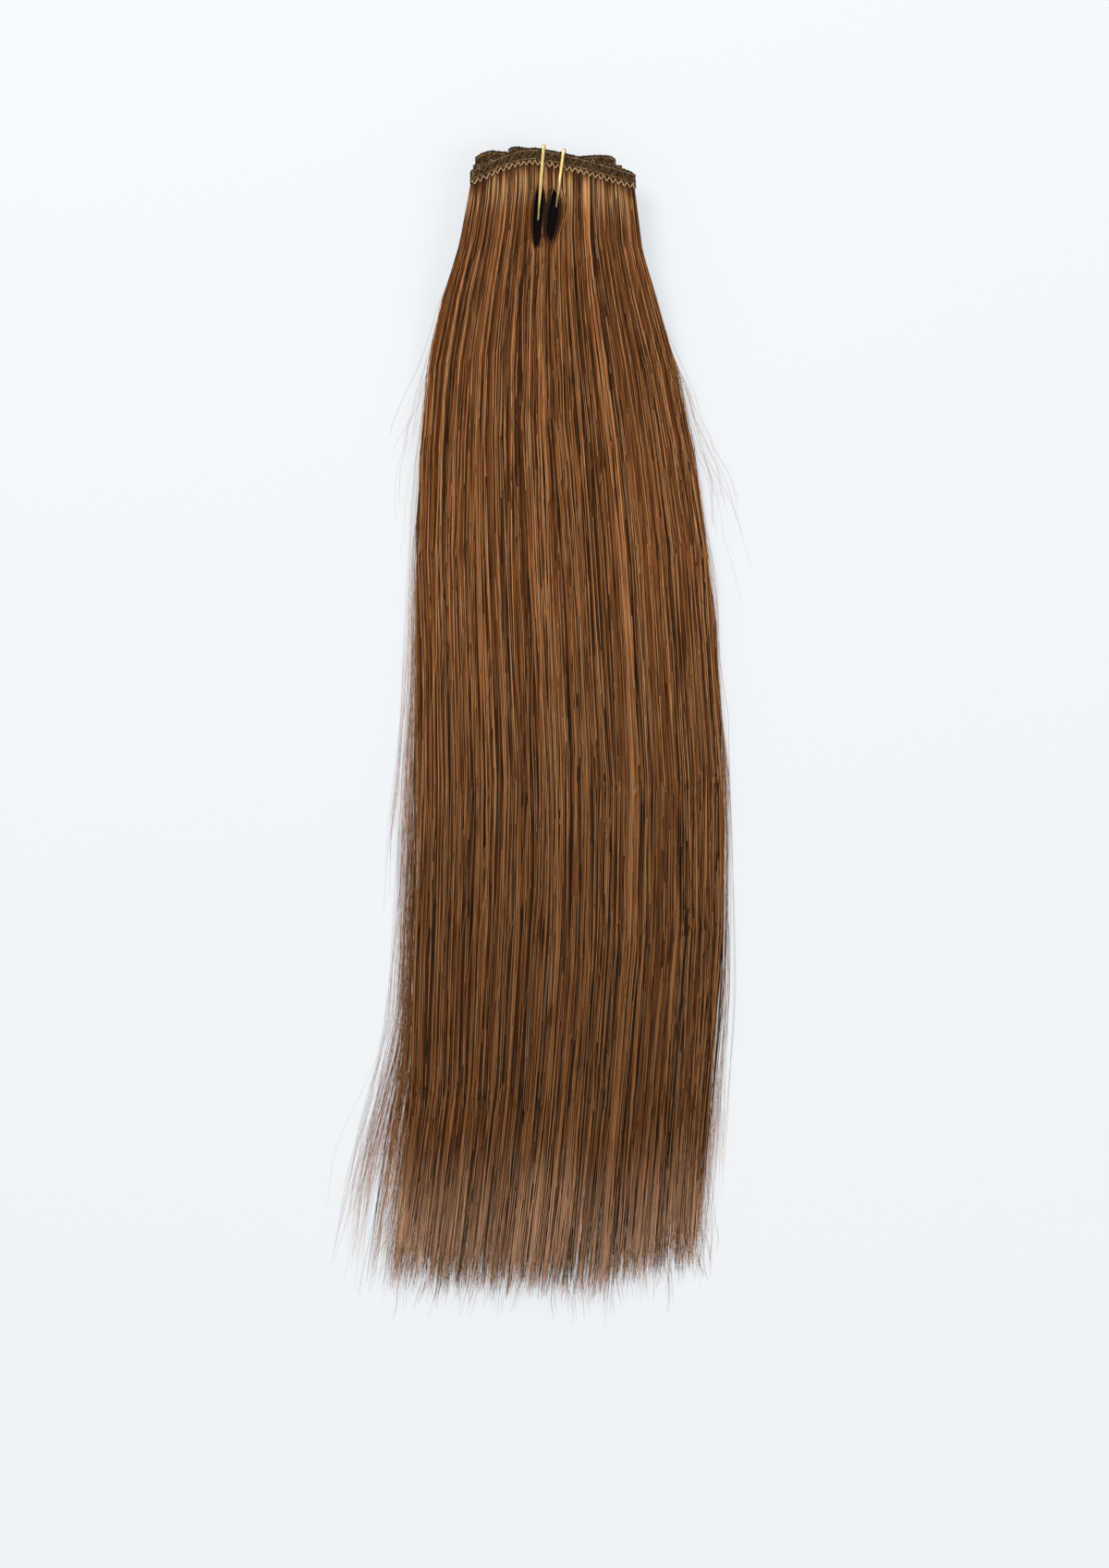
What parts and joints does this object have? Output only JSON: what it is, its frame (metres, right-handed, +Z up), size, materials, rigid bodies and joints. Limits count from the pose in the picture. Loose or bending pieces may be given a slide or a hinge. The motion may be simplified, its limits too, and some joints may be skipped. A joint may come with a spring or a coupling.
{
  "type": "clip in hair extension",
  "caption": "Straight copper brown hair on stacked sewn wefts, laid flat, with a gilt hair pin round the stack and snap clips behind it",
  "frame": {"origin": "on the surface it lies on, under the middle of its box", "axes": "+X right across the wefts, +Y from the tips to the wefts, +Z up from the surface"},
  "size_m": [0.165, 0.5078, 0.0196],
  "materials": {
    "hair": "long straight fibres in copper and golden brown, soft shine",
    "band": "stitched mesh band, brown thread",
    "gilt": "polished gilt wire",
    "clip": "dark brown enamel"
  },
  "bodies": {
    "root": {"front_band": "band", "front_hair": "hair", "second_band": "band", "second_hair": "hair", "third_band": "band", "third_hair": "hair", "back_band": "band", "back_hair": "hair", "hair_pin": "gilt", "left_clip": "clip", "right_clip": "clip"}
  },
  "joints": []
}
